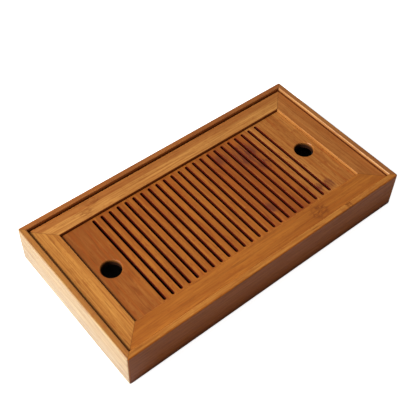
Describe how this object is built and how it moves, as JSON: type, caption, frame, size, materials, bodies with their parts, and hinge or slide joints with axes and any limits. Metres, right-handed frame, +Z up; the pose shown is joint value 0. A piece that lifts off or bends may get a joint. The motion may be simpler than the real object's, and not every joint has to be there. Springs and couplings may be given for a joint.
{
  "type": "gongfu tea tray",
  "caption": "Low rectangular bamboo box with a lift-out slotted lid with finger holes, over a loose plastic drip tray.",
  "frame": {"origin": "middle of the underside, on the surface that the box stands on", "axes": "+X along the long side, +Y along the short side from the front wall to the back wall, +Z up"},
  "size_m": [0.27, 0.142, 0.035],
  "materials": {
    "bamboo_box": "satin lacquer over carbonised bamboo",
    "bamboo_lid": "satin lacquer over carbonised bamboo",
    "bamboo_panel": "satin lacquer over carbonised bamboo",
    "bamboo_base": "plain bamboo board",
    "black_plastic": "moulded, matt",
    "steel_pin": "bright wire"
  },
  "bodies": {
    "box": {"front_wall": "bamboo_box", "back_wall": "bamboo_box", "left_wall": "bamboo_box", "right_wall": "bamboo_box", "base_panel": "bamboo_base", "front_ledge": "bamboo_box", "back_ledge": "bamboo_box", "left_ledge": "bamboo_box", "right_ledge": "bamboo_box", "box_corner_keys": "bamboo_box", "ledge_pins": "steel_pin"},
    "drip_tray": {"drip_tray": "black_plastic"},
    "lid": {"lid_front_rail": "bamboo_lid", "lid_back_rail": "bamboo_lid", "lid_left_rail": "bamboo_lid", "lid_right_rail": "bamboo_lid", "slotted_panel": "bamboo_panel", "lid_corner_keys": "bamboo_lid"}
  },
  "joints": [
    {"name": "drip_tray_lift", "type": "slide", "parent": "box", "child": "drip_tray", "axis": [0, 0, 1], "range_m": [0, 0.045]},
    {"name": "lid_lift", "type": "slide", "parent": "drip_tray", "child": "lid", "axis": [0, 0, 1], "range_m": [0, 0.06]}
  ]
}
